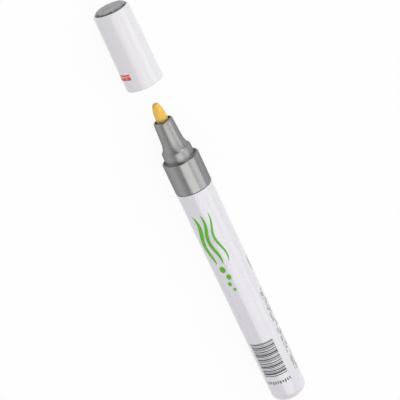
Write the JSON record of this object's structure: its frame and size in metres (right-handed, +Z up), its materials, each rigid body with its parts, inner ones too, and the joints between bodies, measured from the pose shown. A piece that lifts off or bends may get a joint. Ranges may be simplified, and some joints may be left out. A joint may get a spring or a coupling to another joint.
{
  "type": "paint marker",
  "caption": "Valve-action paint marker with a straight white barrel, silver collar and nozzle, a felt nib that presses in, and a pull-off cap with a vented end plug.",
  "frame": {"origin": "on the table, under the marker's axis, at the middle of the whole length from the barrel's rear end to the cap's plug", "axes": "+X along the marker's axis towards the nib and the cap, +Z up from the table, +Y across"},
  "size_m": [0.18, 0.015, 0.015],
  "materials": {
    "barrel_lacquer": "white satin lacquer on an aluminium tube",
    "silver_satin": "satin silver",
    "nib_felt": "pressed felt soaked with yellow paint",
    "dark_plastic": "moulded",
    "white_felt": "pressed felt",
    "black_rubber": "moulded rubber",
    "natural_plastic": "milky moulded plastic",
    "spring_steel": "drawn wire",
    "ball_steel": "polished",
    "cap_white": "satin moulded plastic",
    "plug_grey": "moulded",
    "print_green": "screen-printed ink",
    "print_dark": "screen-printed ink",
    "print_red": "pad-printed ink"
  },
  "bodies": {
    "marker": {"barrel": "barrel_lacquer", "front_collar": "silver_satin", "nozzle": "silver_satin", "nib_guide": "dark_plastic", "absorber_ring": "white_felt", "section_gasket": "black_rubber", "valve_housing": "natural_plastic", "valve_seal": "black_rubber", "valve_spring": "spring_steel", "spring_retainer": "natural_plastic"},
    "plunger": {"nib": "nib_felt", "valve_stem": "natural_plastic"},
    "ball": {"mixing_ball": "ball_steel"},
    "cap": {"cap_shell": "cap_white", "cap_liner": "natural_plastic", "cap_plug": "plug_grey"}
  },
  "joints": [
    {"name": "nib_press", "type": "slide", "parent": "marker", "child": "plunger", "axis": [1, 0, 0], "range_m": [-0.002, 0], "stiffness_N_per_m": 600, "deforming": ["valve_spring"]},
    {"name": "ball_roll", "type": "slide", "parent": "marker", "child": "ball", "axis": [1, 0, 0], "range_m": [-0.0405, 0.0465]},
    {"name": "cap_slide", "type": "slide", "parent": "marker", "child": "cap", "axis": [1, 0, 0], "range_m": [-0.03305, 0]}
  ]
}
